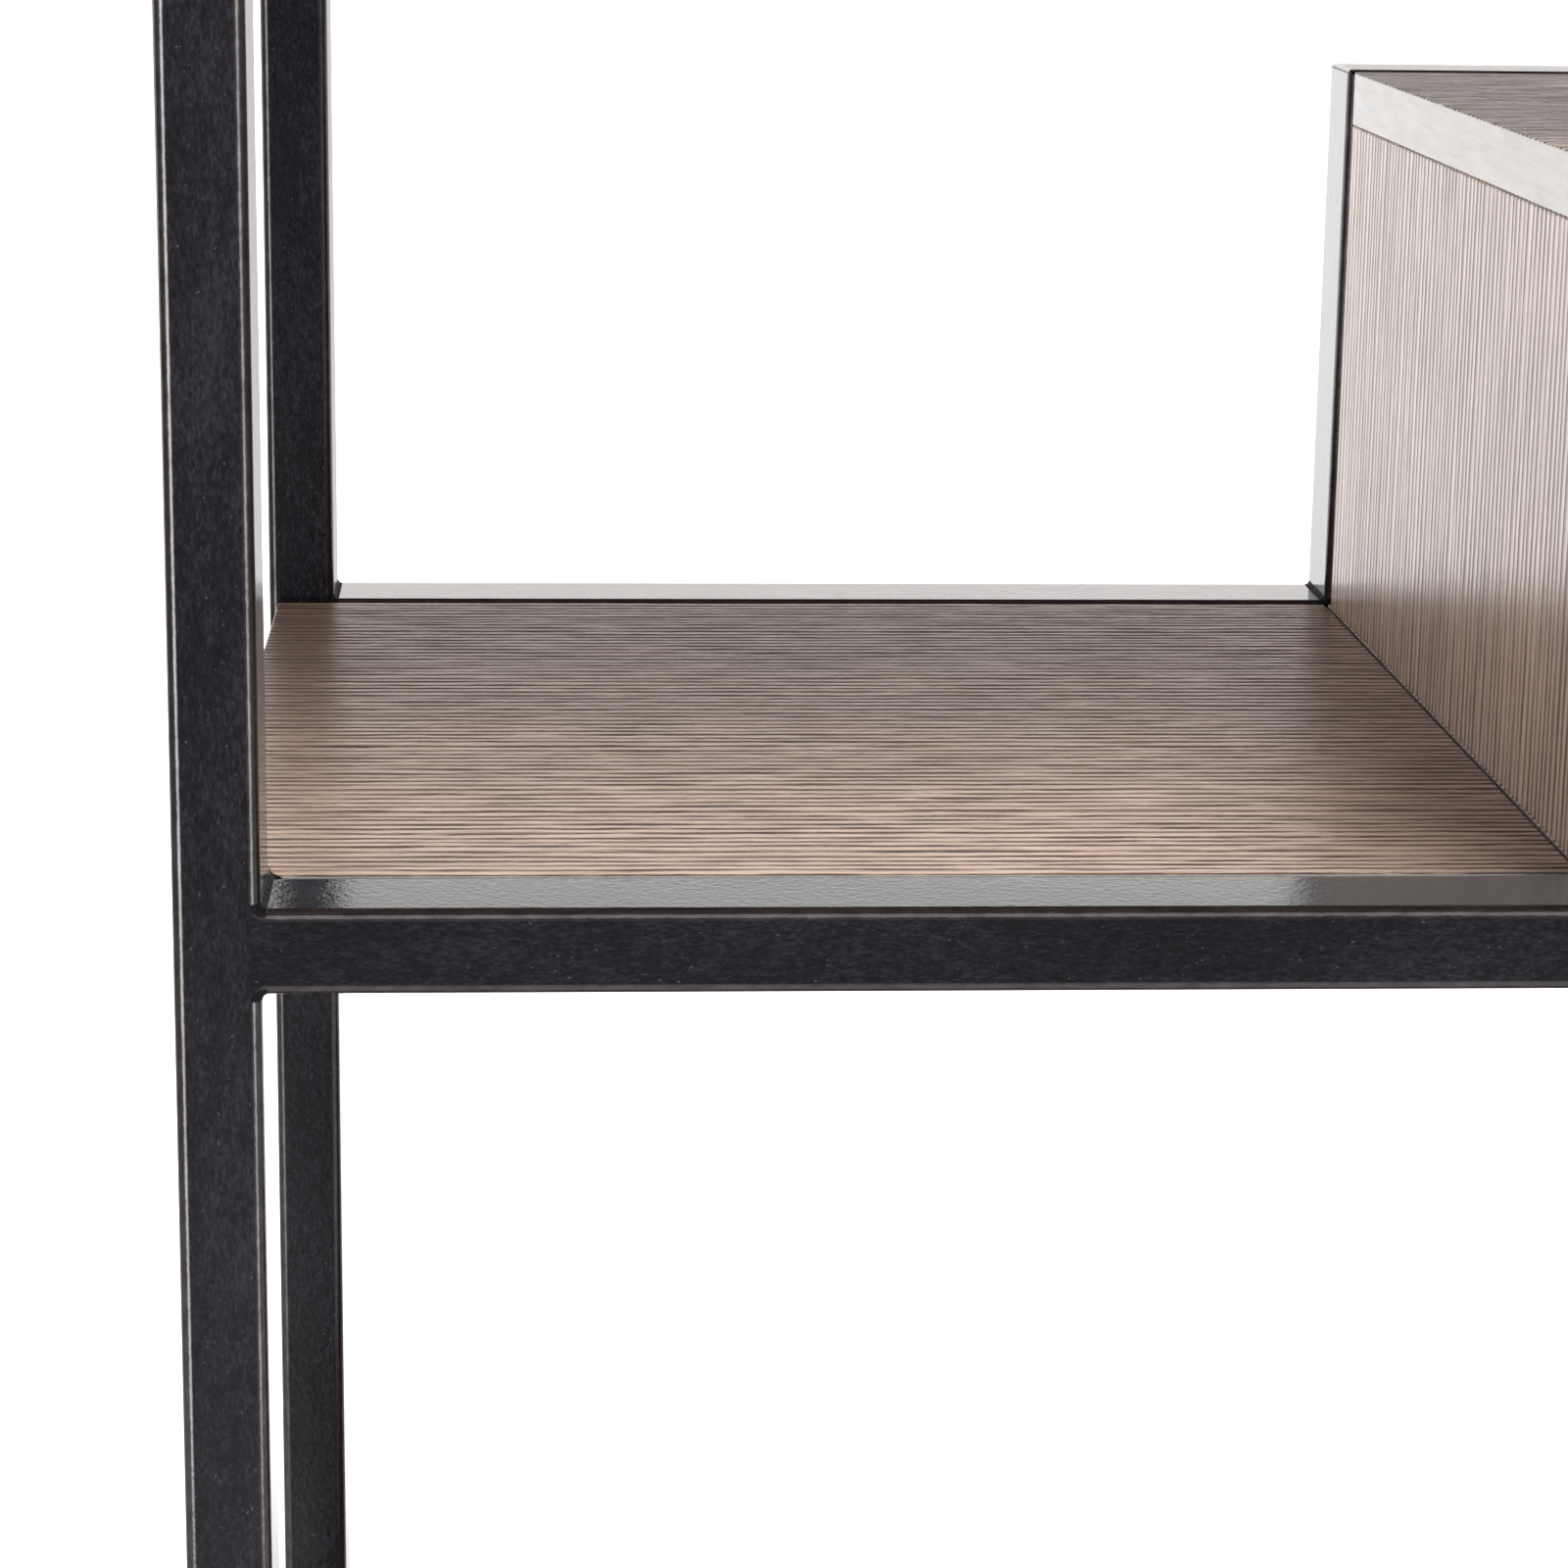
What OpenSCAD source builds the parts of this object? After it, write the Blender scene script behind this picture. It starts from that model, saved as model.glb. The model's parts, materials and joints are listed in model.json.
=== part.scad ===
// Free-standing bookcase: a welded frame of rectangular steel tube with wooden
// shelf boards that drop in between the rails, and two open wooden boxes that
// stand on alternate ends.  Millimetres, +Z up, front towards -Y.  The origin
// is on the floor, in the middle of the footprint.

/* [Overall] */
// Width over the end posts
width = 1000; // [900:10:1200]
// Depth over the posts
depth = 390; // [340:5:420]
// Height of the top face of the lowest shelf above the floor
first_level = 100; // [90:5:140]
// Distance from one shelf's top face to the next
level_pitch = 390; // [340:5:420]

/* [Tube] */
// Width of a tube's front face
tube_face = 20; // [20:1:24]
// Depth of a tube from front to back
tube_deep = 30; // [28:1:40]
// Wall thickness of the tubes
tube_wall = 1.5; // [1.2:0.1:2]
// Outside corner radius of the tubes
tube_radius = 2.5; // [1:0.5:3]
// Radius of the ground welds in the corners of the frame
weld_radius = 1.5; // [1:0.5:4]

/* [Boards] */
// Thickness of the shelf boards and box panels
board_t = 16; // [15:0.5:16.5]
// Gap between a board and the steel in front of it and at its ends
board_gap = 1; // [0.6:0.1:1.5]
// Gap between a shelf board and the rear rail
rear_gap = 4.5; // [1:0.5:8]
// Gap between a box's panels and the steel behind them
panel_rear_gap = 9; // [1:0.5:12]
// How far a board's end stays inside the outer face of the end posts
end_inset = 3; // [2:0.5:6]
// Rounding of the boards' long edges
edge_radius = 0.6; // [0.3:0.1:1]
// Depth of the weld clearance cut at a board's front corners
relief_depth = 7; // [4:0.5:10]
// Width of that cut beside the post
relief_width = 3; // [2:0.5:5]
// Thickness of the boxes' back panels
back_t = 8; // [6:1:10]

/* [Boxes] */
// Width of the open bay beside a box, measured over the end post
bay_width = 330; // [280:5:380]
// Height of a box above its shelf
box_height = 165; // [140:5:200]

/* [Supports] */
// Thickness of the flat bars under the boards
bearer_t = 3; // [2.5:0.5:3]
// Width of the flat bars under the boards
bearer_w = 25; // [20:1:40]
// Thickness of the silicone pads between the bars and the boards
pad_t = 1; // [0.5:0.5:1]
// Diameter of the silicone pads
pad_d = 12; // [8:1:16]

/* [Feet] */
// Diameter of the levelling feet
foot_d = 20; // [16:1:20]
// Height of a foot's pad
foot_pad_h = 8; // [6:0.5:12]
// Diameter of a foot's threaded stem
stem_d = 8; // [6:1:8]

/* [Wall brackets] */
// Distance between the two wall brackets
bracket_spacing = 800; // [400:10:820]
// Diameter of the wall screw hole in a bracket
wall_hole_d = 5.5; // [4:0.5:6]

/* [Hidden] */
LEVELS = 5;
$fn = 48;

// A small amount that makes a cut run past a face
past = 1;
// Longer than any member, for cutting tools
far = 2000;

half_w = width / 2;
half_d = depth / 2;
inner_x = half_w - tube_face;
inner_y = half_d - tube_deep;
rail_h = tube_face;
tube_bore_radius = max(0.3, tube_radius - tube_wall);
top_z = level_z(LEVELS);
// The sides where a box stands: +1 is the right-hand end, -1 the left-hand end
low_side = -1;
high_side = 1;
low_level = 1;
high_level = 3;
// The box post's outer face, drawn for a box at the right-hand end
box_x = -half_w + bay_width;
front_y = -inner_y + board_gap;
board_rear_y = inner_y - rear_gap;
panel_rear_y = inner_y - panel_rear_gap;
// Rounding of the welded caps on the posts and of the boxes' mitred corners
cap_radius = 1.2;
bearer_top = board_t + pad_t;

foot_x = half_w - tube_face / 2;
foot_y = half_d - tube_deep / 2;
insert_flange = 2;
insert_plug = 20;
post_base = foot_pad_h + insert_flange;
stem_top = post_base + insert_plug + 8;
stem_clearance = 0.05;

screw_d = 3.5;
screw_hole_d = 4.5;
screw_head_d = 8;
screw_head_h = 2.2;
screw_bite = 11;
screw_y = 60;
pad_y = 120;
dowel_d = 8;
dowel_in_board = 10;
dowel_in_panel = 16;
dowel_y = 100;

bracket_w = 25;
bracket_t = 2;
bracket_drop = 36;
bracket_hole_drop = 26;
bracket_screw_d = 4;
bracket_screw_y = half_d - 14;

steel_colour = [0.13, 0.13, 0.145];
wood_colour = [0.66, 0.55, 0.47];
plastic_colour = [0.05, 0.05, 0.05];
pad_colour = [0.85, 0.86, 0.86];
zinc_colour = [0.72, 0.73, 0.75];
dowel_colour = [0.82, 0.68, 0.48];

function level_z(level) = first_level + (level - 1) * level_pitch;
// Middles of n bars shared evenly over the stretch from a to b
function bar_places(a, b, n) = [for (i = [0 : n - 1]) a + (i + 0.5) * (b - a) / n];
// Bars under the narrow and the wide board beside and below a right-hand box
narrow_bars = bar_places(-half_w, box_x, 2);
wide_bars = bar_places(box_x, half_w, 3);
full_bars = bar_places(-half_w, half_w, 4);
function has_box(level) = level == low_level || level == high_level;
function box_side(level) = level == low_level ? low_side : high_side;
function level_bars(level) =
    has_box(level) ? [for (x = concat(narrow_bars, wide_bars)) x * box_side(level)] : full_bars;

/* ---- shapes that repeat ---- */

// A rectangle with its corner at the origin and round corners
module rounded_rect(w, d, r) {
    translate([r, 0]) square([w - 2 * r, d]);
    translate([0, r]) square([w, d - 2 * r]);
    for (x = [r, w - r], y = [r, d - r])
        translate([x, y]) circle(r = r);
}

// Draws its children for the right-hand end, or mirrored for the left-hand end
module handed(side) {
    if (side > 0) children();
    else mirror([1, 0, 0]) children();
}

module tube_bore_rect(w, d) {
    translate([tube_wall, tube_wall])
        rounded_rect(w - 2 * tube_wall, d - 2 * tube_wall, tube_bore_radius);
}

// Solid and hollow upright bars, corner at x, y
module upright_bar(x, y, z0, z1) {
    translate([x, y, z0]) linear_extrude(z1 - z0) rounded_rect(tube_face, tube_deep, tube_radius);
}
module upright_bore(x, y, z0, z1) {
    translate([x, y, z0]) linear_extrude(z1 - z0) tube_bore_rect(tube_face, tube_deep);
}

// Solid and hollow bars along X, with their top face at z
module cross_bar(x0, x1, y, z) {
    translate([x0, y, z - rail_h]) rotate([90, 0, 90])
        linear_extrude(x1 - x0) rounded_rect(tube_deep, rail_h, tube_radius);
}
module cross_bore(x0, x1, y, z) {
    translate([x0, y, z - rail_h]) rotate([90, 0, 90])
        linear_extrude(x1 - x0) tube_bore_rect(tube_deep, rail_h);
}

// All four end posts as solid bars, to trim what is welded against them
module end_post_bars() {
    for (x = [-half_w, inner_x], y = [-half_d, inner_y])
        upright_bar(x, y, 0, top_z + past);
}

// The space above a 45 degree line that falls to the right from x, z
module mitre_space(x, z) {
    translate([x, 0, z]) rotate([0, 45, 0])
        translate([-far, -far / 2, 0]) cube([2 * far, far, far]);
}

// A flat panel with a fine round on every edge, between two corners
module panel(low, high) {
    size = high - low;
    translate(low) intersection() {
        linear_extrude(size[2]) rounded_rect(size[0], size[1], edge_radius);
        rotate([90, 0, 90]) linear_extrude(size[0]) rounded_rect(size[1], size[2], edge_radius);
        translate([0, size[1], 0]) rotate([90, 0, 0])
            linear_extrude(size[1]) rounded_rect(size[0], size[2], edge_radius);
    }
}

// A ground weld in the corner where two tubes meet at the origin.  It fills the
// corner towards +X and +Z, along Y, and its ends are rounded like the tubes
module weld(length) {
    reach = weld_radius + tube_radius;
    difference() {
        translate([-tube_radius, 0, -tube_radius]) cube([reach, length, reach]);
        translate([weld_radius, 0, weld_radius]) rotate([-90, 0, 0]) rotate_extrude() difference() {
            translate([0, -past]) square([reach, length + 2 * past]);
            translate([weld_radius, 0]) rounded_rect(4 * tube_radius, length, tube_radius);
        }
    }
}

// A weld at x, y, z that faces along X and up or down as the signs say
module corner_weld(x, y, z, along, up) {
    translate([x, y, z]) mirror([along < 0 ? 1 : 0, 0, 0]) mirror([0, 0, up < 0 ? 1 : 0])
        weld(tube_deep);
}

/* ---- frame ---- */

// An end post, drawn for the right-hand rear corner and mirrored to the others.
// Its welded top cap is rounded on the two outer edges
module post(side, face) {
    handed(side) mirror([0, face < 0 ? 1 : 0, 0]) color(steel_colour) difference() {
        intersection() {
            upright_bar(inner_x, inner_y, post_base, top_z);
            translate([0, half_d, 0]) rotate([90, 0, 0])
                linear_extrude(half_d) rounded_rect(half_w, top_z, cap_radius);
            rotate([90, 0, 90]) linear_extrude(half_w) rounded_rect(half_d, top_z, cap_radius);
        }
        upright_bore(inner_x, inner_y, post_base - past, top_z - tube_wall);
    }
}

// A rail between the end posts, trimmed to their round edges and welded to them
module rail(level, y) {
    z = level_z(level);
    reach = inner_x + tube_radius;
    color(steel_colour) difference() {
        union() {
            cross_bar(-reach, reach, y, z);
            for (side = [-1, 1]) handed(side) {
                corner_weld(inner_x, y, z - rail_h, -1, -1);
                if (level < LEVELS) corner_weld(inner_x, y, z, -1, 1);
            }
        }
        cross_bore(-reach - past, reach + past, y, z);
        end_post_bars();
        if (level == LEVELS && y > 0) bracket_screw_holes();
    }
}

module side_rail(side, level) {
    z = level_z(level);
    reach = inner_y + tube_radius;
    handed(side) color(steel_colour) difference() {
        union() {
            translate([inner_x, reach, z - rail_h]) rotate([90, 0, 0]) linear_extrude(2 * reach)
                rounded_rect(tube_face, rail_h, tube_radius);
            // Turned so that the welds run along X, between the rail and each post
            for (turn = [90, -90]) rotate([0, 0, turn])
                translate([inner_y, turn > 0 ? -half_w : inner_x, 0]) {
                    side_weld(z - rail_h, -1);
                    if (level < LEVELS) side_weld(z, 1);
                }
        }
        translate([inner_x, reach + past, z - rail_h]) rotate([90, 0, 0])
            linear_extrude(2 * (reach + past)) tube_bore_rect(tube_face, rail_h);
        end_post_bars();
        // At the posts' inner edges the corner belongs to the front and rear rails
        for (y = [-half_d, inner_y]) translate([inner_x - past, y, 0])
            cube([tube_radius + past, tube_deep, top_z + past]);
    }
}

module side_weld(z, up) {
    translate([0, 0, z]) mirror([1, 0, 0]) mirror([0, 0, up < 0 ? 1 : 0]) weld(tube_face);
}

// The space beside a box post and under its top rail, at z, with a round corner
module box_outline(z) {
    translate([box_x, half_d, 0]) rotate([90, 0, 0])
        linear_extrude(depth) rounded_rect(width, z, cap_radius);
}

// A box's own post stands on the shelf rail and is mitred to the box's top rail
module box_post(level, y) {
    z = level_z(level);
    handed(box_side(level)) color(steel_colour) difference() {
        union() {
            intersection() {
                upright_bar(box_x, y, z - tube_radius, z + box_height);
                box_outline(z + box_height);
            }
            corner_weld(box_x, y, z, -1, 1);
            corner_weld(box_x + tube_face, y, z, 1, 1);
        }
        upright_bore(box_x, y, z - tube_radius - past, z + box_height);
        cross_bar(-half_w, half_w, y, z);
        mitre_space(box_x, z + box_height);
    }
}

module box_rail(level, y) {
    z = level_z(level) + box_height;
    handed(box_side(level)) color(steel_colour) difference() {
        union() {
            intersection() {
                cross_bar(box_x, inner_x + tube_radius, y, z);
                mitre_space(box_x, z);
                box_outline(z);
            }
            corner_weld(inner_x, y, z, -1, 1);
            corner_weld(inner_x, y, z - rail_h, -1, -1);
        }
        cross_bore(box_x - past, half_w, y, z);
        end_post_bars();
    }
}

// Flat bars under one level's boards, drilled where a board is screwed down
module bearers(level) {
    z = level_z(level) - bearer_top;
    color(steel_colour) difference() {
        for (x = level_bars(level))
            translate([x - bearer_w / 2, -inner_y, z - bearer_t])
                cube([bearer_w, 2 * inner_y, bearer_t]);
        if (has_box(level))
            screw_places(level) translate([0, 0, z - bearer_t - past])
                cylinder(d = screw_hole_d, h = bearer_t + 2 * past);
    }
}

module wall_brackets() {
    z = top_z - rail_h;
    color(steel_colour) for (x = [-1, 1] * bracket_spacing / 2) difference() {
        union() {
            translate([x - bracket_w / 2, inner_y + 4, z - bracket_t])
                cube([bracket_w, tube_deep - 4, bracket_t]);
            translate([x - bracket_w / 2, half_d - bracket_t, z - bracket_drop])
                cube([bracket_w, bracket_t, bracket_drop]);
        }
        translate([x, half_d + past, z - bracket_hole_drop]) rotate([90, 0, 0])
            cylinder(d = wall_hole_d, h = bracket_t + 2 * past);
        bracket_screw_holes();
    }
}

module bracket_screw_holes() {
    for (x = [-1, 1] * bracket_spacing / 2)
        translate([x, bracket_screw_y, top_z - rail_h - bracket_t - past])
            cylinder(d = bracket_screw_d, h = bracket_t + tube_wall + 2 * past);
}

/* ---- boards and boxes ---- */

// Middles of the screws that hold a box's floor board
module screw_places(level) {
    for (x = wide_bars, y = [-screw_y, screw_y])
        translate([x * box_side(level), y, 0]) children();
}

// Weld clearance at the front corner of a board's left-hand end.  Beside the
// post the board's corner is a quarter of an ellipse
module corner_relief(z) {
    steps = 12;
    curve = [for (i = [0 : steps]) let (a = 90 * i / steps)
        [-inner_x + relief_width * (1 - cos(a)), front_y + relief_depth * (1 - sin(a))]];
    translate([0, 0, z - board_t - past]) linear_extrude(board_t + 2 * past)
        polygon(concat([[-half_w, front_y - past], [-half_w, front_y + relief_depth]], curve,
                       [[-inner_x + relief_width, front_y - past]]));
}

// A shelf board over the stretch x0 to x1.  The ends named in cuts, -1 for the
// left and +1 for the right, lie between the posts and clear the front welds
module shelf_board(level, x0, x1, cuts) {
    z = level_z(level);
    color(wood_colour) difference() {
        panel([x0, front_y, z - board_t], [x1, board_rear_y, z]);
        for (side = cuts) handed(-side) corner_relief(z);
    }
}

// The boards of a level with a box, drawn for a box at the right-hand end.
// Where side rails close the frame, the ends stop short of them
function open_end(level) = level > 1 && level < LEVELS;
function board_end(level) = open_end(level) ? half_w - end_inset : inner_x - board_gap;

module narrow_board(level) {
    handed(box_side(level))
        shelf_board(level, -board_end(level), box_x - board_gap, open_end(level) ? [-1] : []);
}

module wide_board(level) {
    z = level_z(level);
    difference() {
        handed(box_side(level))
            shelf_board(level, box_x, board_end(level), open_end(level) ? [1] : []);
        screw_places(level) translate([0, 0, z - board_t - past])
            cylinder(d = screw_d, h = screw_bite + past);
        dowel_places(level) translate([0, 0, z - dowel_in_board])
            cylinder(d = dowel_d, h = dowel_in_board + past);
    }
}

module full_board(level) {
    end = board_end(level);
    shelf_board(level, -end, end, open_end(level) ? [-1, 1] : []);
}

// Middles of the dowels in a box's two side panels
module dowel_places(level) {
    for (x = [box_x + board_t / 2, board_end(level) - board_t / 2], y = [-dowel_y, dowel_y])
        translate([x * box_side(level), y, 0]) children();
}

// A side panel with its inner corner of the plan at x, drilled top and bottom
module side_panel(level, x) {
    z0 = level_z(level);
    z1 = z0 + box_height - board_t;
    color(wood_colour) difference() {
        handed(box_side(level)) panel([x, front_y, z0], [x + board_t, panel_rear_y, z1]);
        dowel_places(level) {
            translate([0, 0, z0 - past]) cylinder(d = dowel_d, h = dowel_in_panel + past);
            translate([0, 0, z1 - dowel_in_panel]) cylinder(d = dowel_d, h = dowel_in_panel + past);
        }
    }
}

module box_top(level) {
    z = level_z(level) + box_height;
    color(wood_colour) difference() {
        handed(box_side(level))
            panel([box_x, front_y, z - board_t], [board_end(level), panel_rear_y, z]);
        dowel_places(level) translate([0, 0, z - board_t - past])
            cylinder(d = dowel_d, h = dowel_in_board + past);
    }
}

module box_back(level) {
    z0 = level_z(level);
    low = [box_x + board_t, panel_rear_y - back_t, z0];
    high = [board_end(level) - board_t, panel_rear_y, z0 + box_height - board_t];
    color(wood_colour) handed(box_side(level)) panel(low, high);
}

/* ---- fittings ---- */

module foot(x, y) {
    r = foot_d / 2;
    color(plastic_colour) translate([x, y, 0]) rotate_extrude()
        polygon([[0, 0], [r - 1, 0], [r, 1], [r, 4], [r - 2, foot_pad_h],
                 [stem_d / 2, foot_pad_h], [stem_d / 2, stem_top - 1],
                 [stem_d / 2 - 1, stem_top], [0, stem_top]]);
}

module foot_inserts() {
    slack = 0.1;
    skin = tube_wall + slack;
    color(plastic_colour) for (x = [-half_w, inner_x], y = [-half_d, inner_y]) difference() {
        union() {
            translate([x, y, post_base - insert_flange]) linear_extrude(insert_flange)
                rounded_rect(tube_face, tube_deep, tube_radius);
            translate([x + skin, y + skin, post_base]) linear_extrude(insert_plug)
                rounded_rect(tube_face - 2 * skin, tube_deep - 2 * skin, tube_bore_radius);
        }
        translate([x + tube_face / 2, y + tube_deep / 2, 0])
            cylinder(r = stem_d / 2 + stem_clearance, h = stem_top + past);
    }
}

module shelf_pads() {
    color(pad_colour) for (level = [1 : LEVELS], x = level_bars(level), y = [-pad_y, pad_y])
        translate([x, y, level_z(level) - bearer_top]) cylinder(d = pad_d, h = pad_t);
}

module board_screws() {
    color(zinc_colour) for (level = [low_level, high_level])
        screw_places(level) translate([0, 0, level_z(level) - bearer_top - bearer_t]) {
            translate([0, 0, -screw_head_h]) cylinder(d = screw_head_d, h = screw_head_h);
            cylinder(d = screw_d, h = bearer_t + pad_t + screw_bite);
        }
}

module box_dowels() {
    length = dowel_in_board + dowel_in_panel;
    color(dowel_colour) for (level = [low_level, high_level]) dowel_places(level) {
        translate([0, 0, level_z(level) - dowel_in_board]) cylinder(d = dowel_d, h = length);
        translate([0, 0, level_z(level) + box_height - board_t - dowel_in_panel])
            cylinder(d = dowel_d, h = length);
    }
}

module bracket_screws() {
    head_h = 2.4;
    reach = 12;
    color(zinc_colour) for (x = [-1, 1] * bracket_spacing / 2)
        translate([x, bracket_screw_y, top_z - rail_h - bracket_t]) {
            translate([0, 0, -head_h]) cylinder(d = 2 * bracket_screw_d, h = head_h);
            cylinder(d = bracket_screw_d, h = reach);
        }
}

post(-1, -1);  // post_front_left
post(1, -1);  // post_front_right
post(-1, 1);  // post_rear_left
post(1, 1);  // post_rear_right
for (i = [1 : LEVELS]) {
    rail(i, -half_d);
    rail(i, inner_y);
    bearers(i);
}
side_rail(-1, 1);  // side_rail_bottom_left
side_rail(1, 1);  // side_rail_bottom_right
side_rail(-1, LEVELS);  // side_rail_top_left
side_rail(1, LEVELS);  // side_rail_top_right
box_post(low_level, -half_d);  // low_box_post_front
box_post(low_level, inner_y);  // low_box_post_rear
box_rail(low_level, -half_d);  // low_box_rail_front
box_rail(low_level, inner_y);  // low_box_rail_rear
box_post(high_level, -half_d);  // high_box_post_front
box_post(high_level, inner_y);  // high_box_post_rear
box_rail(high_level, -half_d);  // high_box_rail_front
box_rail(high_level, inner_y);  // high_box_rail_rear
narrow_board(1);  // shelf_1_narrow
wide_board(1);  // shelf_1_wide
full_board(2);  // shelf_2
narrow_board(3);  // shelf_3_narrow
wide_board(3);  // shelf_3_wide
full_board(4);  // shelf_4
full_board(5);  // shelf_5
side_panel(low_level, box_x);  // low_box_inner_side
side_panel(low_level, board_end(low_level) - board_t);  // low_box_outer_side
box_top(low_level);  // low_box_top
box_back(low_level);  // low_box_back
side_panel(high_level, box_x);  // high_box_inner_side
side_panel(high_level, board_end(high_level) - board_t);  // high_box_outer_side
box_top(high_level);  // high_box_top
box_back(high_level);  // high_box_back
foot(-foot_x, -foot_y);  // foot_front_left
foot(foot_x, -foot_y);  // foot_front_right
foot(-foot_x, foot_y);  // foot_rear_left
foot(foot_x, foot_y);  // foot_rear_right
foot_inserts();
shelf_pads();
board_screws();
box_dowels();
wall_brackets();
bracket_screws();
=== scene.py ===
import json
import math

import bpy
from mathutils import Matrix, Vector


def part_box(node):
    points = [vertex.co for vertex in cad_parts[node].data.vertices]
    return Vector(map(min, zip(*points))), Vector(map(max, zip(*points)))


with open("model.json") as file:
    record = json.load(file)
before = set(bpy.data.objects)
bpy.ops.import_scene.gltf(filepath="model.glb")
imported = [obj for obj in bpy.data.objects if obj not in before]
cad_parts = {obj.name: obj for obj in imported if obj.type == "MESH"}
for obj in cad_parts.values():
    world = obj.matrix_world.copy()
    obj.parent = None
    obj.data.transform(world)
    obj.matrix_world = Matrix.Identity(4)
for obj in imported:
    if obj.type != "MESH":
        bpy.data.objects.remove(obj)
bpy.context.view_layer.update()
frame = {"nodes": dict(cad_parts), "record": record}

NODES = frame["nodes"]
SLOTS = {p["node"]: p["material_slot"] for p in frame["record"]["subparts"]}


# ---- named values: metres, linear RGB colours, and (position, colour) stops of colour ramps ----

# Steel
COAT = ((0.38, (0.0022, 0.0021, 0.0036)), (0.50, (0.0082, 0.0077, 0.0114)), (0.62, (0.0230, 0.0220, 0.0290)))
COAT_IOR = 1.35
DUST = (0.35, 0.34, 0.36)
WELD_COAT = (0.0045, 0.0042, 0.0050)
WELD_LUMPS = 0.0020             # bump distance on the ground welds
RUBBED_STEEL = ((0.35, (0.058, 0.053, 0.054)), (0.65, (0.092, 0.086, 0.087)))
RUBBED_METALLIC = 0.9
MITRE_REACH = 0.010             # nothing this near a mitre is drawn as a weld
MITRE_FADE = 0.004

# Wood decor
PORE_PITCH = 0.0044             # from one dark line to the next
RIDGE = ((0.34, (0.375, 0.266, 0.208)), (0.50, (0.495, 0.352, 0.268)), (0.64, (0.600, 0.430, 0.322)))
FIBRE = (0.66, 0.51, 0.41)
STREAK = (0.130, 0.084, 0.063)
PORE = (0.074, 0.046, 0.036)
PINHOLE = (0.020, 0.014, 0.011)
EDGE_BAND = ((0.30, (0.37, 0.365, 0.350)), (0.65, (0.49, 0.490, 0.475)))
EDGE_BAND_ROUGHNESS = 0.30
# painted shade: near black on the boards' rounded corner cuts, for the shaded gap beside the tubes
CUT_PAINTED_SHADE = (0.030, 0.022, 0.019)
GRAIN_SQUEEZE = {"x": 0.5, "z": 0.25}               # by the grain's axis: the upright lines run on further
GRAIN_ROUGHEST = {"x": 0.62, "z": 0.34}             # by the grain's axis
RELIEF = {"x": 0.0004, "y": 0.0004, "z": 0.0011}    # bump distance, by the axis of the board's thickness
SIDE_IOR, TOP_IOR, SHELF_IOR = 1.40, 1.47, 1.33

# Studio
FLOOR_HALF = 40.0
FLOOR_MIDDLE = (0.0, -0.6, 0.0)
FLOOR_WHITE_FROM, FLOOR_WHITE_TO = 0.9, 1.95        # distances from the floor's middle
BACKDROP_LEFT, BACKDROP_MIDDLE = 2.15, 1.7          # brightness of the floor's far part
BACKDROP_SKY, BACKDROP_SKY_LOW = 2.35, 0.34 * 2.35  # brightness of the surround behind, and near the floor
WARM_BACKDROP = (1.0, 0.975, 0.955)
WARM_ROOM = (1.0, 0.86, 0.84)
ROOM_LEVEL = 0.17
BROWN_ROOM = (0.34, 0.215, 0.205)
LIGHT_AIM = (-0.2, 0.0, 0.9)
EDGE_LIGHT_DISTANCE, EDGE_LIGHT_HEIGHT = 1.3, 1.0
EDGE_LIGHT_SIZE = (0.45, 1.7)

# Camera, placed from the front left post and the third shelf's top
CAMERA_RIGHT_OF_POST, CAMERA_BEFORE_POST, CAMERA_OVER_SHELF = 0.08083, 0.90196, 0.25062
YAW, PITCH, ROLL = (math.radians(a) for a in (3.6106, 13.7546, 0.7985))
SENSOR_MM, LENS_MM = 36.0, 94.823


# ---- shader graphs ----

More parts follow.
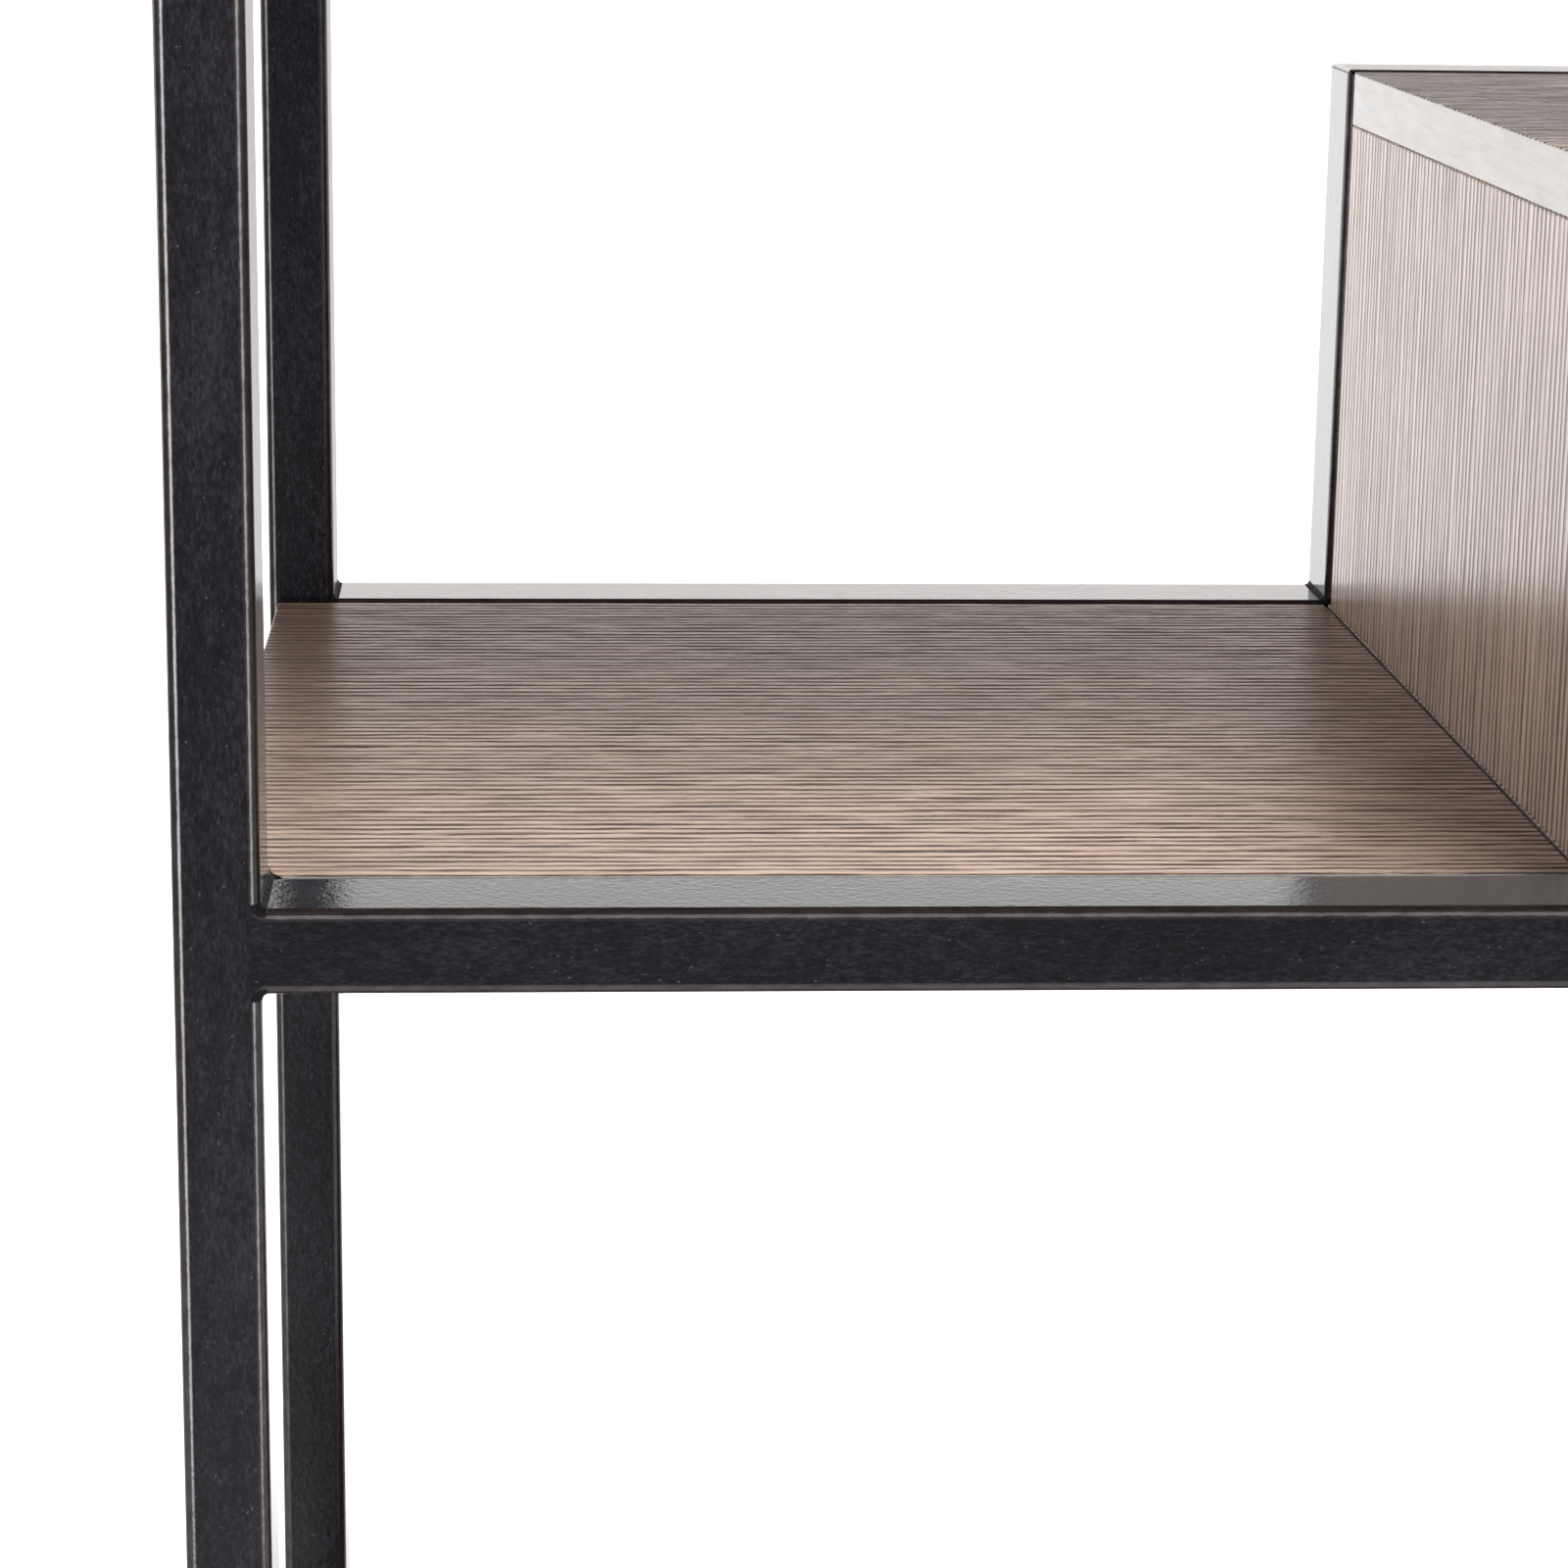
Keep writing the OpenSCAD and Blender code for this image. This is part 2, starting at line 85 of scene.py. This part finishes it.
class Nodes:
    """Short calls that add shader nodes to a tree."""

    def __init__(self, tree):
        self.tree = tree

    def feed(self, socket, value):
        if isinstance(value, bpy.types.NodeSocket):
            self.tree.links.new(value, socket)
        elif hasattr(socket.default_value, "__len__") and not hasattr(value, "__len__"):
            socket.default_value = [value] * len(socket.default_value)
        else:
            socket.default_value = value

    def add(self, kind, out=0, inputs=(), **settings):
        node = self.tree.nodes.new("ShaderNode" + kind)
        for key, value in settings.items():
            setattr(node, key, value)
        for key, value in dict(inputs).items():
            self.feed(node.inputs[key], value)
        return node.outputs[out]

    def math(self, operation, a, b=0.0):
        return self.add("Math", inputs={0: a, 1: b}, operation=operation)

    def weighted(self, *terms):
        """The sum of each (value, weight)."""
        total = None
        for value, weight in terms:
            term = self.math("MULTIPLY", value, weight)
            total = term if total is None else self.math("ADD", total, term)
        return total

    def scaled(self, vector, scale, offset=(0, 0, 0)):
        """The vector times scale, then moved by offset."""
        return self.add("VectorMath", inputs={0: vector, 1: scale, 2: offset}, operation="MULTIPLY_ADD")

    def component(self, vector, axis):
        return self.add("SeparateXYZ", "xyz".index(axis), {0: vector})

    def turned(self, vector, axis):
        """How much the vector points along an axis, either way."""
        return self.math("ABSOLUTE", self.component(vector, axis))

    def noise(self, vector, detail=2.0, roughness=0.5):
        inputs = {"Vector": vector, "Scale": 1.0, "Detail": detail, "Roughness": roughness}
        return self.add("TexNoise", "Fac", inputs)

    def ramp(self, value, *stops):
        """A ColorRamp. Each stop is (position, grey) or (position, (r, g, b))."""
        output = self.add("ValToRGB", "Color", {"Fac": value})
        elements = output.node.color_ramp.elements
        while len(elements) < len(stops):
            elements.new(0.5)
        for element, (position, colour) in zip(elements, stops):
            element.position = position
            element.color = (*(colour if hasattr(colour, "__len__") else [colour] * 3), 1)
        return output

    def span(self, value, low, high, to_low=0.0, to_high=1.0):
        """The range low to high, mapped to the range to_low to to_high."""
        return self.add("MapRange", "Result", {"Value": value, "From Min": low, "From Max": high,
                                               "To Min": to_low, "To Max": to_high})

    def soft_span(self, *args):
        output = self.span(*args)
        output.node.interpolation_type = "SMOOTHSTEP"
        return output

    def choose(self, factor, a, b):
        """The number a where factor is 0, and b where it is 1."""
        return self.span(factor, 0.0, 1.0, a, b)

    def mix(self, factor, a, b, blend="MIX"):
        node = self.tree.nodes.new("ShaderNodeMix")
        node.data_type, node.blend_type = "RGBA", blend
        # A Mix node has sockets for each data type. These are the factor, and the colours in and out
        for socket, value in zip([node.inputs[0], node.inputs[6], node.inputs[7]], [factor, a, b]):
            self.feed(socket, (*value, 1) if isinstance(value, tuple) and len(value) == 3 else value)
        return node.outputs[2]

    def bump(self, height, distance, normal=None):
        inputs = {"Height": height, "Distance": distance}
        if normal is not None:
            inputs["Normal"] = normal
        return self.add("Bump", "Normal", inputs)


class Graph(Nodes):
    """A material with one Principled shader, drawn in the object's own coordinates."""

    def __init__(self, name):
        self.material = bpy.data.materials.new(name)
        self.material.use_nodes = True
        super().__init__(self.material.node_tree)
        self.shader = next(n for n in self.tree.nodes if n.type == "BSDF_PRINCIPLED")
        coords = self.tree.nodes.new("ShaderNodeTexCoord")
        self.place, self.normal = coords.outputs["Object"], coords.outputs["Normal"]

    def finish(self, **inputs):
        for key, value in inputs.items():
            self.feed(self.shader.inputs[key.replace("_", " ")], value)
        return self.material


def along(axis, fine, coarse):
    """Noise scales that stretch a pattern along one axis: coarse on it and fine across it."""
    return tuple(coarse if letter == axis else fine for letter in "xyz")


def seed_shift(seed):
    """A different place in the noise for each seed, so that no two pieces share a pattern."""
    return (0.37 * seed % 1.9, 0.53 * seed % 2.3, 0.29 * seed % 1.7)


# ---- steel ----

def weld_mask(g, axis, mitre):
    """1 on the ground welds: only their own surface faces partly along the tube. mitre is the x and
    z of a corner whose rounding isn't a weld, or None."""
    facing = g.turned(g.normal, axis)
    weld = g.math("MULTIPLY", g.span(facing, 0.04, 0.16), g.span(facing, 1.0, 0.985))
    if mitre:
        away = [g.math("ABSOLUTE", g.math("SUBTRACT", g.component(g.place, letter), corner))
                for letter, corner in zip("xz", mitre)]
        clear = g.span(g.math("ADD", *away), MITRE_REACH, MITRE_REACH + MITRE_FADE)
        weld = g.math("MULTIPLY", weld, clear)
    return weld


def round_edge_mask(g, axis, weld):
    """1 on the round edges of the tube, which face two ways at once, but not on its welds."""
    both = g.math("MULTIPLY", *[g.turned(g.normal, letter) for letter in "xyz" if letter != axis])
    return g.math("MULTIPLY", g.span(both, 0.03, 0.16), g.math("SUBTRACT", 1.0, weld))


def steel(axis, seed, mitre):
    """Satin black powder coat on tube: mottled along the tube, with a fine grain and a little dust.
    The ground welds are rough and lumpy. Along the tube's round edges the coat is rubbed thin, and
    glints like dark metal."""
    g = Graph(f"black_steel_{axis}_{seed}")
    place = g.scaled(g.place, 1.0, seed_shift(seed))
    grain = g.noise(g.scaled(place, along(axis, 1700, 620)), 2, 0.6)
    mottle = g.noise(g.scaled(place, along(axis, 420, 150)), 3, 0.6)
    cloud = g.noise(g.scaled(place, along(axis, 60, 14)), 2)
    dust = g.ramp(g.noise(g.scaled(place, along(axis, 1300, 800)), 0), (0.845, 0.0), (0.87, 1.0))
    lump = g.noise(g.scaled(place, 600), 2, 0.6)
    peel = g.noise(g.scaled(place, 650), 2, 0.5)
    weld = weld_mask(g, axis, mitre)
    edge = round_edge_mask(g, axis, weld)

    colour = g.ramp(g.weighted((grain, 0.52), (mottle, 0.22), (cloud, 0.26)), *COAT)
    colour = g.mix(g.math("MULTIPLY", dust, 0.16), colour, DUST)
    colour = g.mix(weld, colour, WELD_COAT)
    colour = g.mix(edge, colour, g.ramp(mottle, *RUBBED_STEEL))
    rough = g.math("ADD", g.span(mottle, 0.3, 0.7, 0.13, 0.17), g.math("MULTIPLY", weld, 0.50))
    normal = g.bump(peel, 0.00005, g.bump(grain, 0.00002))
    normal = g.bump(g.math("MULTIPLY", lump, weld), WELD_LUMPS, normal)
    return g.finish(Base_Color=colour, Metallic=g.math("MULTIPLY", edge, RUBBED_METALLIC),
                    Roughness=rough, Normal=normal, IOR=COAT_IOR)


# ---- wood decor ----

def grain_place(g, place, axis):
    """Coordinates on the board: along the grain, squeezed to lengthen it, and across it."""
    length = g.math("MULTIPLY", g.component(place, axis), GRAIN_SQUEEZE[axis])
    across = g.math("ADD", g.component(place, "y"), g.component(place, "z" if axis == "x" else "x"))
    return g.add("CombineXYZ", inputs={"X": length, "Y": across, "Z": 0.0})


def pore_lines(g, flat):
    """1 in the dark lines and 0 on the ridges. The lines wander, and break up along their length."""
    wander = g.noise(g.scaled(flat, (1.6, 60, 1)), 2, 0.45)
    wobble = g.noise(g.scaled(flat, (65, 210, 1)), 1)
    strength = g.noise(g.scaled(flat, (75, 240, 1)), 3, 0.7)
    count = g.math("DIVIDE", g.component(flat, "y"), PORE_PITCH)
    lines = g.math("ADD", count, g.weighted((wander, 1.3), (wobble, 0.34)))
    wave = g.math("SINE", g.math("MULTIPLY", lines, math.tau))
    return g.span(g.math("ADD", wave, g.span(strength, 0.3, 0.7, -0.75, 0.75)), -0.20, 0.95)


def decor_colour(g, flat, groove, fine, fibre, pinholes):
    """Ridges in bands and clouds of tone, with pale fibres and dark streaks, and the pores between."""
    bands = g.noise(g.scaled(flat, (1.1, 26, 1)), 3, 0.55)
    clouds = g.noise(g.scaled(flat, (5, 14, 1)), 2, 0.5)
    depth = g.span(g.noise(g.scaled(flat, (34, 310, 1)), 2, 0.6), 0.36, 0.56, 0.60, 1.0)
    colour = g.ramp(g.weighted((bands, 0.65), (clouds, 0.35)), *RIDGE)
    colour = g.mix(g.span(fibre, 0.25, 0.75, 0.0, 0.55), colour, FIBRE)
    colour = g.mix(g.span(fine, 0.47, 0.70, 0.0, 0.76), colour, STREAK)
    colour = g.mix(g.math("MULTIPLY", groove, depth), colour, PORE)
    if pinholes:
        pinhole = g.ramp(g.noise(g.scaled(flat, (640, 420, 1)), 0), (0.695, 0.0), (0.715, 1.0))
        colour = g.mix(pinhole, colour, PINHOLE)
    return colour


def wood(axis, through, seed, ior, pinholes):
    """Grey-brown decor with straight grain along axis. All edges of the board have a pale band, and
    the rounded cuts at its corners are painted near black: painted shade of the gap beside the tubes.
    through is the axis of the board's thickness."""
    g = Graph(f"wood_{axis}_{seed}")
    place = g.scaled(g.place, 1.0, seed_shift(seed))
    flat = grain_place(g, place, axis)
    groove = pore_lines(g, flat)
    fine = g.noise(g.scaled(flat, (60, 1000, 1)), 3, 0.7)
    fibre = g.noise(g.scaled(flat, (330, 2600, 1)), 2, 0.6)
    strip = g.noise(g.scaled(place, along("y", 420, 46)), 3, 0.6)
    # The band is where the surface turns away from the board's broad faces, and a cut faces two ways. The
    # cut gets painted shade.
    band = g.span(g.turned(g.normal, through), 0.60, 0.30)
    both = g.math("MULTIPLY", g.component(g.normal, "x"), g.component(g.normal, "y"))
    cut_shade = g.span(g.math("ABSOLUTE", both), 0.04, 0.12)

    colour = decor_colour(g, flat, groove, fine, fibre, pinholes)
    colour = g.mix(band, colour, g.ramp(strip, *EDGE_BAND))
    # Painted shade: the rounded corner cuts are painted near black, standing in for the shaded gap beside
    # the tubes
    colour = g.mix(cut_shade, colour, CUT_PAINTED_SHADE)
    rough = g.span(g.math("ADD", groove, fine), 0.3, 1.3, 0.17, GRAIN_ROUGHEST[axis])
    rough = g.choose(band, rough, EDGE_BAND_ROUGHNESS)
    height = g.weighted((fine, 0.22), (fibre, 0.12), (groove, -0.80))
    height = g.choose(band, height, g.math("MULTIPLY", strip, 0.10))
    return g.finish(Base_Color=colour, Roughness=rough, Normal=g.bump(height, RELIEF[through]), IOR=ior)


# ---- small parts ----

def moulded(name, colour, roughness):
    """Moulded plastic or silicone with a fine grain."""
    g = Graph(name)
    speckle = g.noise(g.scaled(g.place, 2400), 3, 0.6)
    cloud = g.noise(g.scaled(g.place, 130), 2)
    lighter = tuple(min(1, c * 1.7 + 0.006) for c in colour)
    tint = g.mix(g.span(cloud, 0.3, 0.7, 0.0, 0.5), colour, lighter)
    rough = g.span(speckle, 0.3, 0.7, roughness - 0.1, roughness + 0.1)
    return g.finish(Base_Color=tint, Roughness=rough, Normal=g.bump(speckle, 0.00005), IOR=1.48)


def zinc():
    g = Graph("zinc_steel")
    crystal = g.noise(g.scaled(g.place, 420), 3, 0.6)
    colour = g.ramp(crystal, (0.35, (0.40, 0.41, 0.43)), (0.65, (0.62, 0.63, 0.65)))
    return g.finish(Base_Color=colour, Metallic=1.0, Roughness=g.span(crystal, 0.3, 0.7, 0.24, 0.42),
                    Normal=g.bump(crystal, 0.00003))


def beech():
    g = Graph("beech")
    grain = g.noise(g.scaled(g.place, along("z", 1500, 60)), 3, 0.6)
    colour = g.ramp(grain, (0.35, (0.48, 0.32, 0.17)), (0.65, (0.68, 0.50, 0.30)))
    return g.finish(Base_Color=colour, Roughness=0.55, Normal=g.bump(grain, 0.00005))


# ---- the materials on the CAD nodes ----

def axis_of(node, pick):
    """The axis on which the node is longest or thinnest: pick is max or min."""
    low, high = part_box(node)
    return pick("xyz", key=lambda letter: (high - low)["xyz".index(letter)])


def box_mitre(node):
    """The x and z of the mitred outer corner of a box's own frame, or None for any other tube."""
    if "_box_" not in node:
        return None
    low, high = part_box(node.replace("rail", "post"))
    return max(low.x, high.x, key=abs), high.z


def steel_for(node, seed):
    runs_back = node.startswith(("bearers", "side_rail"))
    return steel("y" if runs_back else axis_of(node, max), seed, box_mitre(node))


def wood_for(node, seed):
    is_side, is_top = node.endswith("_side"), node.endswith("_top")
    ior = SIDE_IOR if is_side else TOP_IOR if is_top else SHELF_IOR
    return wood("z" if is_side else "x", axis_of(node, min), seed, ior, pinholes=is_top)


def paint_nodes():
    """Gives each CAD node's object its material, on the object's own slots."""
    plain = {"black_plastic": moulded("black_plastic", (0.012, 0.012, 0.013), 0.5),
             "silicone": moulded("silicone", (0.62, 0.64, 0.65), 0.35),
             "zinc_steel": zinc(), "beech": beech()}
    grained = {"black_steel": steel_for, "wood_decor": wood_for}
    for seed, (node, finish) in enumerate(sorted(SLOTS.items())):
        material = grained[finish](node, seed) if finish in grained else plain[finish]
        for slot in NODES[node].material_slots:
            slot.link = "OBJECT"
            slot.material = material


# ---- studio ----

def make_floor():
    """A wide pale floor. Behind the bookcase it is lit up like the foot of a studio backdrop, and
    away from the bookcase the camera sees it white. From below it isn't there."""
    mesh = bpy.data.meshes.new("floor")
    corners = [(x * FLOOR_HALF, y * FLOOR_HALF, 0) for x, y in ((-1, -1), (1, -1), (1, 1), (-1, 1))]
    mesh.from_pydata(corners, [], [(0, 1, 2, 3)])
    floor = bpy.data.objects.new("floor", mesh)
    bpy.context.scene.collection.objects.link(floor)
    g = Graph("floor_paper")
    colour = g.ramp(g.noise(g.scaled(g.place, 3), 2), (0.3, 0.80), (0.7, 0.83))
    sideways, depth = g.component(g.place, "x"), g.component(g.place, "y")
    left = g.span(depth, 0.9, 3.2, 0.0, BACKDROP_LEFT)
    middle = g.math("SUBTRACT", g.span(depth, 1.1, 1.7, 0.0, BACKDROP_MIDDLE),
                    g.span(depth, 2.8, 4.2, 0.0, 1.0))
    behind = g.span(sideways, -1.2, -0.3, left, middle)
    ahead = g.span(depth, -3.0, -9.0, 0.10, 0.35)
    reach = g.add("VectorMath", "Value", {0: g.place, 1: FLOOR_MIDDLE}, operation="DISTANCE")
    seen_white = g.math("MULTIPLY", g.add("LightPath", "Is Camera Ray"),
                        g.span(reach, FLOOR_WHITE_FROM, FLOOR_WHITE_TO, 0.0, 1.1))
    glow = g.math("ADD", ahead, g.math("MAXIMUM", behind, seen_white))
    from_above = g.math("SUBTRACT", 1.0, g.add("NewGeometry", "Backfacing"))
    mesh.materials.append(g.finish(Base_Color=colour, Roughness=0.9, Emission_Color=(1, 1, 1, 1),
                                   Emission_Strength=glow, Alpha=from_above))


def make_sky():
    """A dim warm room with a bright backdrop low behind the bookcase. Mirror-like faces see a room
    that is brown at the sides and dark in front, and the camera itself sees white."""
    world = bpy.data.worlds.new("studio")
    bpy.context.scene.world = world
    world.use_nodes = True
    g = Nodes(world.node_tree)
    direction = g.add("TexCoord", "Generated")
    back, height = g.component(direction, "y"), g.component(direction, "z")
    lit = g.math("MULTIPLY", g.soft_span(height, 0.19, 0.40, 1.0, 0.0),
                 g.soft_span(back, 0.35, 0.75, 0.0, 1.0))
    lit = g.math("MULTIPLY", lit, g.soft_span(height, 0.07, 0.16, BACKDROP_SKY_LOW, BACKDROP_SKY))
    side = g.math("MULTIPLY", g.span(back, -0.75, -0.25, 0.28, 1.0),
                  g.soft_span(back, 0.30, 0.70, 1.0, 0.0))
    room = g.mix(g.add("LightPath", "Is Glossy Ray"), g.scaled(WARM_ROOM, ROOM_LEVEL),
                 g.scaled(BROWN_ROOM, side))
    light = g.mix(1.0, room, g.scaled(WARM_BACKDROP, lit), "ADD")
    shown = g.mix(g.add("LightPath", "Is Camera Ray"), light, (1.0, 1.0, 1.0))
    background = next(n for n in g.tree.nodes if n.type == "BACKGROUND")
    g.feed(background.inputs["Color"], shown)


def softbox(name, place, size, radiance, target=LIGHT_AIM, glossy=True, diffuse=True, only=None):
    """A soft rectangular light of size metres at place, turned to target. It can be kept out of
    reflections or of diffuse light, and can light only one node."""
    light = bpy.data.lights.new(name, "AREA")
    light.shape, light.size, light.size_y = "RECTANGLE", size[0], size[1]
    light.energy = math.pi * size[0] * size[1] * radiance
    lamp = bpy.data.objects.new(name, light)
    bpy.context.scene.collection.objects.link(lamp)
    lamp.location = place
    lamp.rotation_mode = "QUATERNION"
    lamp.rotation_quaternion = (Vector(target) - Vector(place)).to_track_quat("-Z", "Y")
    lamp.visible_glossy, lamp.visible_diffuse = glossy, diffuse
    lamp.visible_camera = False
    if only:
        lamp.light_linking.receiver_collection = bpy.data.collections.new(name + "_lights")
        lamp.light_linking.receiver_collection.objects.link(NODES[only])


def edge_light(node, turn, radiance):
    """A near light that shows only as fine lines along one post's round edges. It stands turn
    degrees to the right of straight in front of the post."""
    low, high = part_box(node)
    post = Vector(((low.x + high.x) / 2, (low.y + high.y) / 2, EDGE_LIGHT_HEIGHT))
    away = Vector((math.sin(math.radians(turn)), -math.cos(math.radians(turn)), 0))
    softbox(f"{node}_edge_{turn:.0f}", post + EDGE_LIGHT_DISTANCE * away, EDGE_LIGHT_SIZE, radiance,
            target=post, diffuse=False, only=node)


def make_lights():
    softbox("overhead", place=(0.65, -0.69, 2.9), size=(1.6, 0.6), radiance=33.0, glossy=False)
    softbox("left_flat", place=(-2.1, -2.5, 0.9), size=(1.0, 2.2), radiance=2.0)
    softbox("right_flat", place=(1.9, -2.6, 0.9), size=(1.0, 2.2), radiance=0.8)
    softbox("left_fill", place=(-2.4, -1.2, 1.5), size=(1.2, 1.2), radiance=4.3, glossy=False)
    softbox("front_top", place=(-0.2, -2.6, 2.3), size=(2.4, 2.0), radiance=1.8, diffuse=False)
    edge_light("post_front_left", turn=-26.0, radiance=7.0)
    edge_light("post_front_left", turn=30.0, radiance=4.0)
    edge_light("post_rear_left", turn=-26.0, radiance=2.5)


def make_camera():
    """Close to the front left post, a little above the third shelf, looking slightly down."""
    post_low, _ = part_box("post_front_left")
    shelf_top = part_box("shelf_3_narrow")[1].z
    look = Vector((math.sin(YAW) * math.cos(PITCH), math.cos(YAW) * math.cos(PITCH), -math.sin(PITCH)))
    level = Vector((math.cos(YAW), -math.sin(YAW), 0))
    upright = level.cross(look)
    right = math.cos(ROLL) * level + math.sin(ROLL) * upright
    up = math.cos(ROLL) * upright - math.sin(ROLL) * level
    data = bpy.data.cameras.new("camera")
    data.sensor_width, data.lens = SENSOR_MM, LENS_MM
    data.clip_start, data.clip_end = 0.05, 200.0
    camera = bpy.data.objects.new("camera", data)
    bpy.context.scene.collection.objects.link(camera)
    place = Vector((post_low.x + CAMERA_RIGHT_OF_POST, post_low.y - CAMERA_BEFORE_POST,
                    shelf_top + CAMERA_OVER_SHELF))
    camera.matrix_world = Matrix.Translation(place) @ Matrix((right, up, -look)).transposed().to_4x4()
    bpy.context.scene.camera = camera


paint_nodes()
make_floor()
make_sky()
make_lights()
make_camera()
bpy.context.scene.view_settings.view_transform = "Standard"
